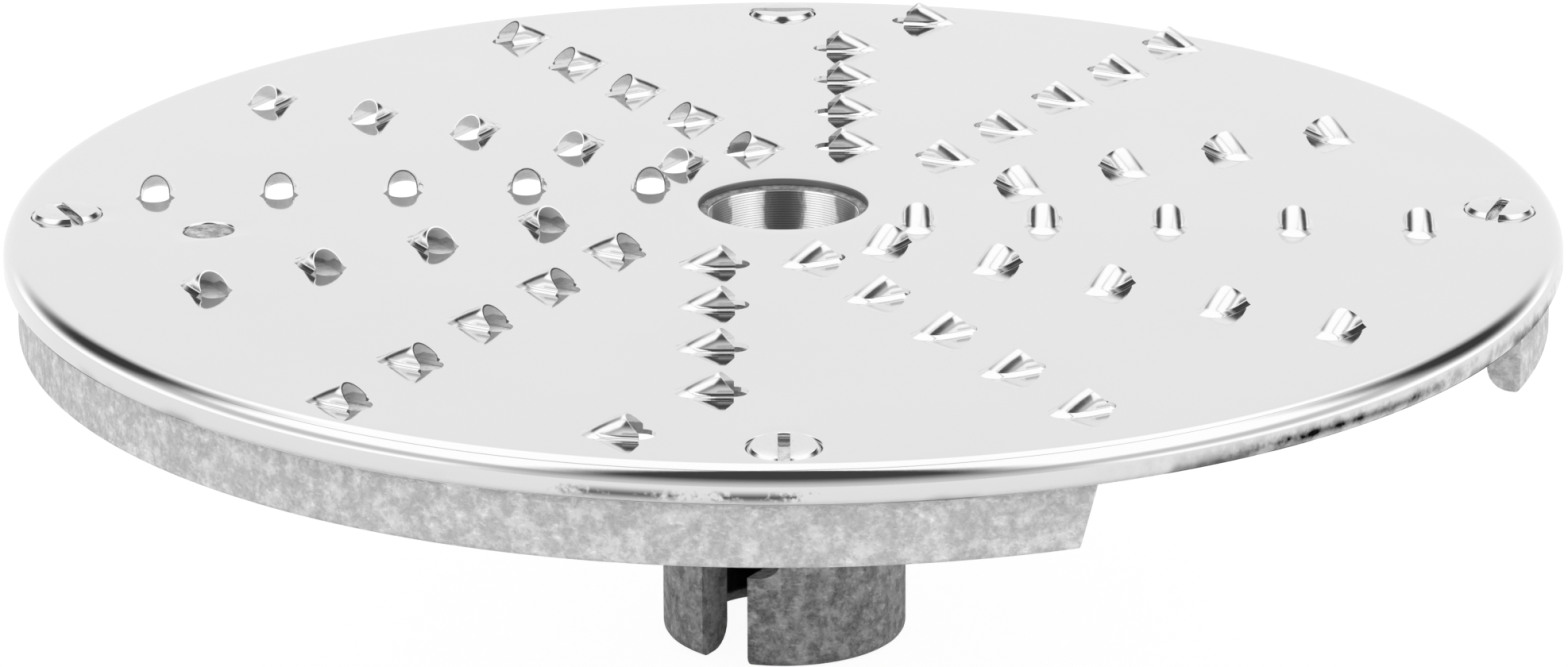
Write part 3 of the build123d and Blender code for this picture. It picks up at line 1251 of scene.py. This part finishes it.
    def skirt(self) -> bpy.types.Object:
        """Model a skirt under the rim with a rounded inner foot and a slanted end.

        Returns:
            The skirt.
        """
        middle = self.skirt_radius - self.skirt_thickness / 2
        half = (self.seat - self.skirt_top_gap - self.skirt_foot) / 2
        Bench.clear()
        bpy.ops.mesh.primitive_plane_add(size=2, rotation=(pi / 2, 0, 0))
        skirt = Bench.started("skirt")
        span = self.skirt_end - self.skirt_start
        with Bench.editing(skirt):
            bpy.ops.transform.resize(value=(self.skirt_thickness / 2, 1, half), center_override=(0, 0, 0))
            bpy.ops.transform.translate(value=(middle, 0, self.skirt_foot + half))
            Bench.select(skirt, lambda place: place.z < self.skirt_foot + NEAR and place.x < middle)
            bpy.ops.mesh.bevel(affect="VERTICES", offset=self.skirt_inner_round, segments=self.skirt_inner_steps)
            Bench.select(skirt, lambda place: place.z < self.skirt_foot + NEAR and place.x > self.skirt_radius - NEAR)
            bpy.ops.mesh.bevel(affect="VERTICES", offset=self.skirt_outer_round, segments=self.skirt_outer_steps)
            bpy.ops.mesh.select_all(action="SELECT")
            bpy.ops.mesh.spin(
                steps=self.skirt_spin_steps, angle=-radians(span), center=(0, 0, 0), axis=(0, 0, 1)
            )
            ahead = polar(1, span + 90)
            lean = Vector((0, 0, -tan(radians(self.skirt_end_slope))))
            Bench.trim(polar(self.skirt_radius, span, self.seat), ahead + lean)
        Bench.soften(skirt, self.skirt_round)
        return Bench.turn(skirt, self.skirt_start)

    def boss(self, angle: float) -> bpy.types.Object:
        """Model a screw boss under the plate's rim.

        Args:
            angle: Its angle about the axis in degrees.

        Returns:
            The boss.
        """
        radius, foot, chamfer = self.boss_radius, self.boss_foot, self.boss_chamfer
        points = [(radius - chamfer, foot), (radius, foot + chamfer), (radius, self.seat - self.boss_top_gap)]
        boss = Bench.turned("boss", points, self.boss_segments)
        boss.location = polar(self.boss_circle, angle)
        return boss

    def peg(self) -> bpy.types.Object:
        """Model the locating peg that fills the small hole in the plate.

        Returns:
            The peg.
        """
        points = [(self.peg_radius, self.web_foot + self.peg_root)]
        points += [(self.peg_radius - in_by, self.peg_top + up) for in_by, up in self.peg_edge]
        peg = Bench.turned("peg", points, self.peg_segments)
        peg.location = polar(self.peg_circle, self.peg_angle)
        return peg

    def build(self) -> bpy.types.Object:
        """Model the casting.

        Returns:
            The casting as one piece.
        """
        carrier = self.hub()
        web, skirt = self.web(), self.skirt()
        parts = [web, skirt, Bench.twin_of(web), Bench.twin_of(skirt), self.peg()]
        parts += [self.boss(angle) for angle in QUARTERS]
        for part in parts:
            Bench.combine(carrier, part, Cut.UNITE)
        Bench.finish(carrier, self.sharp_angle)
        return carrier

    def dress(self, carrier: bpy.types.Object) -> None:
        """Finish the casting and put it in the frame.

        Args:
            carrier: The casting.
        """
        CastAlloy().apply(carrier)
        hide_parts("carrier")
        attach(carrier, "root")


@dataclass(frozen=True)
class PlateScrews:
    """Four slotted screws with bevelled heads."""

    circle: float = 87.5
    turns: tuple[float, ...] = QUARTERS
    slot_turns: tuple[float, ...] = (72.0, 0.0, 113.0, 90.0)
    tops: tuple[float, ...] = (54.48, 54.4, 54.5, 54.15)
    leans: tuple[float, ...] = (1.5, 1.5, 1.5, 5.0)
    head_radius: float = 4.25
    head_section: tuple[Point, ...] = (
        (3.75, 0.0), (0.75, 0.0), (0.5, -0.05), (0.06, -0.5), (0.0, -0.65), (0.0, -1.1),
    )
    shank_radius: float = 2.5
    shank_chamfer: float = 0.6
    length: float = 10.0
    segments: int = 64
    slot_width: float = 1.4
    slot_depth: float = 1.15
    slot_overrun: float = 1.0
    edge_round: Rounding = Rounding(0.07, 2, 40)
    sharp_angle: float = 28.0

    def screw(self) -> bpy.types.Object:
        """Model one screw.

        Returns:
            The screw, upright, with its slot along X and its top at Z 0.
        """
        head, shank, chamfer, over = self.head_radius, self.shank_radius, self.shank_chamfer, self.slot_overrun
        points = [(head - in_by, level) for in_by, level in self.head_section]
        points.append((shank, points[-1][1] - (head - shank)))
        points += [(shank, chamfer - self.length), (shank - chamfer, -self.length)]
        screw = Bench.turned("screw", points, self.segments)
        half = self.slot_width / 2
        cutter = Bench.block("slot", (-head - over, -half, -self.slot_depth), (head + over, half, over))
        Bench.combine(screw, cutter, Cut.REMOVE)
        Bench.soften(screw, self.edge_round)
        return screw

    def build(self) -> bpy.types.Object:
        """Model the screws.

        Returns:
            All four screws in one object.
        """
        places = []
        for angle, slot, top, lean in zip(self.turns, self.slot_turns, self.tops, self.leans):
            tilt = Matrix.Rotation(radians(lean), 4, polar(1, angle + 90))
            spot = Matrix.Translation(polar(self.circle, angle, top))
            places.append(spot @ tilt @ Matrix.Rotation(radians(slot), 4, "Z"))
        screws = Bench.copied(self.screw(), places)
        screws.name = "plate_screws_dressed"
        Bench.finish(screws, self.sharp_angle)
        return screws

    def dress(self, screws: bpy.types.Object) -> None:
        """Finish the screws and put them in the frame.

        Args:
            screws: The screws.
        """
        ScrewSteel().apply(screws)
        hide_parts("plate_screws")
        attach(screws, "root")


@dataclass(frozen=True)
class Studio:
    """White floor, an even light, and the tent that polished steel mirrors: a dark front, two gaps and a backdrop.

    Levels are 1 for white, directions are in degrees, and the seam's pairs are for the left and the right.
    """

    floor_size: float = 6.0
    floor_gap: float = 0.0002
    floor_tone: float = 0.86
    floor_grain: Speckle = Speckle(6, tone=0.01)
    floor_shine: float = 1.07
    floor_glow: float = 0.88
    floor_mirror: float = 0.15
    even_level: float = 1.15
    tent_level: float = 1.3
    backdrop_level: float = 1.0
    backdrop_edge: Point = (138.0, 152.0)
    backdrop_top: Point = (32.0, 42.0)
    band_level: float = 0.72
    band: tuple[float, float, float] = (12.0, 31.0, 6.0)
    front_level: float = 0.06
    front_low_level: float = 0.76
    front_edge: Point = (26.0, 46.0)
    front_top: Point = (82.0, 92.0)
    front_rise: Point = (0.0, 45.0)
    flare_height: float = 30.0
    flare: float = 0.35
    gap_level: float = 0.05
    gap_azimuth: float = 128.0
    gap_height: float = 29.0
    gap_reach: Point = (27.0, 24.0)
    gap_edge: Point = (0.3, 1.2)
    seam_sides: float = 0.05
    seam_starts: Point = (-0.09, 0.05)
    seam_bends: Point = (0.78, 2.20)
    seam_edge: Point = (0.02, 0.07)
    seam_height: Point = (0.5, 0.65)
    seam_shade: float = 0.45
    lowest: float = 0.05

    def build(self) -> None:
        """Make the floor and the world."""
        self.floor()
        self.world()

    def floor(self) -> None:
        """White floor that shines for the camera, still takes the shadow and is clear from below."""
        Bench.clear()
        bpy.ops.mesh.primitive_plane_add(size=self.floor_size, location=(0, 0, -self.floor_gap))
        floor = Bench.started("studio_floor")
        made = bpy.data.materials.new("studio_floor")
        made.use_nodes = True
        graph = Graph(made.node_tree)
        grain = graph.noise(graph.place(), self.floor_grain)
        tone = graph.grey(self.floor_tone + grain.centred() * self.floor_grain.tone)
        paper = graph.node("ShaderNodeBsdfDiffuse", inputs={"Color": tone})
        glow = graph.node("ShaderNodeEmission", inputs={"Strength": self.floor_shine})
        clear = graph.node("ShaderNodeBsdfTransparent")
        seen = graph.node("ShaderNodeLightPath").outputs
        direct = Value(graph, seen["Is Camera Ray"]) * self.floor_glow
        direct = direct + Value(graph, seen["Is Glossy Ray"]) * self.floor_mirror
        below = graph.node("ShaderNodeNewGeometry").outputs["Backfacing"]
        mix = graph.mix(below, graph.mix(direct, paper, glow), clear)
        graph.node("ShaderNodeOutputMaterial", inputs={"Surface": mix.outputs[0]})
        floor.data.materials.append(made)

    def tent(self, graph: Graph) -> Value:
        """Brightness of the surroundings by direction.

        Args:
            graph: The world's nodes.

        Returns:
            The level, where 1 shows as white.
        """
        x, y, z = graph.split(graph.node("ShaderNodeTexCoord").outputs["Generated"])
        azimuth = x.step(MathStep.ARCTAN2, y * -1).size() * degrees(1)
        height = z.step(MathStep.ARCSINE) * degrees(1)
        above = 1 / z.step(MathStep.MAXIMUM, self.lowest)
        side = x * above
        right = x.ramp(-self.seam_sides, self.seam_sides)
        start = self.seam_starts[0] + right * (self.seam_starts[1] - self.seam_starts[0])
        bend = self.seam_bends[0] + right * (self.seam_bends[1] - self.seam_bends[0])
        seam = (y * above - start - side * side * bend).size()
        seam = (1 - seam.ramp(*self.seam_edge)) * z.ramp(*self.seam_height)
        level = self.tent_level * (1 - seam * self.seam_shade)
        back = azimuth.ramp(*self.backdrop_edge)
        backdrop = back * (1 - height.ramp(*self.backdrop_top))
        level = level + backdrop * (self.backdrop_level - level)
        level = level + (1 - back) * height.band(*self.band) * (self.band_level - level)
        across, up = self.gap_reach
        off = ((azimuth - self.gap_azimuth) / across) ** 2 + ((height - self.gap_height) / up) ** 2
        gap = 1 - off.root().ramp(*self.gap_edge)
        level = level + gap * (self.gap_level - level)
        low = self.flare_height - height.step(MathStep.MINIMUM, self.flare_height)
        front = (1 - (azimuth - low * self.flare).ramp(*self.front_edge)) * (1 - height.ramp(*self.front_top))
        dark = self.front_level + (self.front_low_level - self.front_level) * (1 - height.ramp(*self.front_rise))
        return level + front * (dark - level)

    def world(self) -> None:
        """Even light, the light tent for reflections and a white background for the camera."""
        world = bpy.data.worlds.new("studio")
        bpy.context.scene.world = world
        world.use_nodes = True
        graph = Graph(world.node_tree)
        level = graph.grey(self.tent(graph))
        even = graph.node("ShaderNodeBackground", inputs={"Color": WHITE, "Strength": self.even_level})
        around = graph.node("ShaderNodeBackground", inputs={"Color": level, "Strength": 1.0})
        white = graph.node("ShaderNodeBackground", inputs={"Color": WHITE, "Strength": 1.0})
        seen = graph.node("ShaderNodeLightPath").outputs
        mix = graph.mix(seen["Is Camera Ray"], graph.mix(seen["Is Glossy Ray"], even, around), white)
        graph.node("ShaderNodeOutputWorld", inputs={"Surface": mix.outputs[0]})


@dataclass(frozen=True)
class PhotoCamera:
    """Camera at the photograph's place, in millimetres and degrees."""

    place: tuple[float, float, float] = (0.05, -980.62, 363.44)
    down: float = 18.344
    roll: float = -0.199
    lens: float = 193.31
    sensor: float = 36.0
    clip_start: float = 50.0

    def build(self) -> None:
        """Add the camera and make it the scene's."""
        Bench.clear()
        bpy.ops.object.camera_add(location=[value * METRE for value in self.place])
        camera = bpy.context.object
        tilt = Matrix.Rotation(radians(90 - self.down), 4, "X") @ Matrix.Rotation(radians(self.roll), 4, "Z")
        camera.rotation_euler = tilt.to_euler()
        camera.data.sensor_fit = "HORIZONTAL"
        camera.data.sensor_width = self.sensor
        camera.data.lens = self.lens
        camera.data.clip_start = self.clip_start * METRE
        bpy.context.scene.camera = camera


def main() -> None:
    """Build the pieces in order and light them."""
    logging.basicConfig(level=logging.INFO, format="%(message)s")
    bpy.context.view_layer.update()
    for part in (GratingPlate(), Carrier(), PlateScrews()):
        part.dress(part.build())
    Studio().build()
    PhotoCamera().build()
    bpy.context.scene.view_settings.view_transform = "Standard"


if __name__ == "__main__":
    main()
